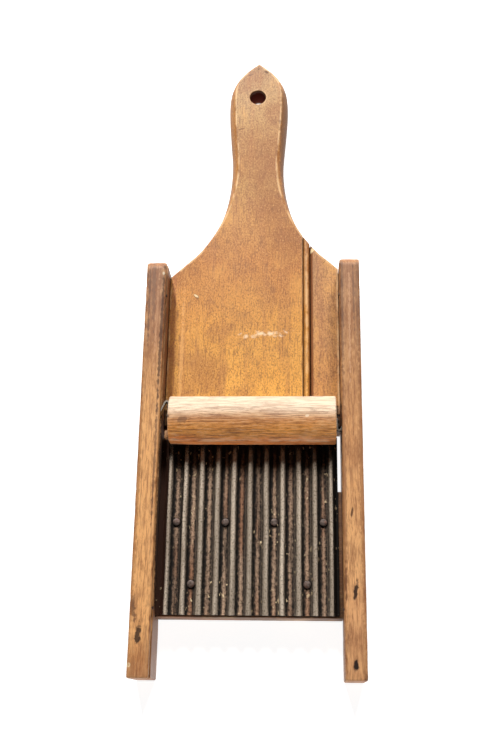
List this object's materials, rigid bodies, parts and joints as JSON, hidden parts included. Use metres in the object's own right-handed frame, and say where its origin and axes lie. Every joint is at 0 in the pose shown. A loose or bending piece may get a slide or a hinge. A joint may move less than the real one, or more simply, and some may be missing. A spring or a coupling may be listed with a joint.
{
  "type": "vegetable slicer",
  "caption": "Paddle-handled wooden vegetable slicer with grooved side rails, a fixed corrugated knife over an open throat and a crowned guard bar that slides along the rails",
  "frame": {"origin": "middle of the back of the bounding box, on the surface that the slicer lies on", "axes": "+X across to the right as seen from the front, +Y along the rails towards the handle, +Z out of the front"},
  "size_m": [0.158, 0.4874, 0.046],
  "materials": {
    "board_wood": "old oiled beech, worn smooth, satin",
    "rail_wood": "old beech with darkened edges, satin to matt",
    "bar_wood": "bleached and worn beech, matt",
    "knife_steel": "tarnished sheet steel, brown in the valleys and bare grey on the crests",
    "runner_iron": "dull bent strap iron",
    "nail_iron": "dark oxidised iron"
  },
  "bodies": {
    "frame": {"handle_board": "board_wood", "side_strip": "board_wood", "bed_board": "rail_wood", "corrugated_knife": "knife_steel", "knife_nail_1": "nail_iron", "knife_nail_2": "nail_iron", "knife_nail_3": "nail_iron", "knife_nail_4": "nail_iron", "knife_nail_5": "nail_iron", "knife_nail_6": "nail_iron", "left_rail": "rail_wood", "left_rail_nail_1": "nail_iron", "left_rail_nail_2": "nail_iron", "left_rail_nail_3": "nail_iron", "left_rail_nail_4": "nail_iron", "left_stop_brad_1": "nail_iron", "left_stop_brad_2": "nail_iron", "right_rail": "rail_wood", "right_rail_nail_1": "nail_iron", "right_rail_nail_2": "nail_iron", "right_rail_nail_3": "nail_iron", "right_rail_nail_4": "nail_iron", "right_stop_brad_1": "nail_iron", "right_stop_brad_2": "nail_iron"},
    "guard": {"guard_bar": "bar_wood", "left_runner": "runner_iron", "left_end_block": "rail_wood", "left_runner_nail_1": "nail_iron", "left_runner_nail_2": "nail_iron", "right_runner": "runner_iron", "right_end_block": "rail_wood", "right_runner_nail_1": "nail_iron", "right_runner_nail_2": "nail_iron"}
  },
  "joints": [
    {"name": "guard_slide", "type": "slide", "parent": "frame", "child": "guard", "axis": [0, 1, 0], "range_m": [-0.1145, 0.0802]}
  ]
}
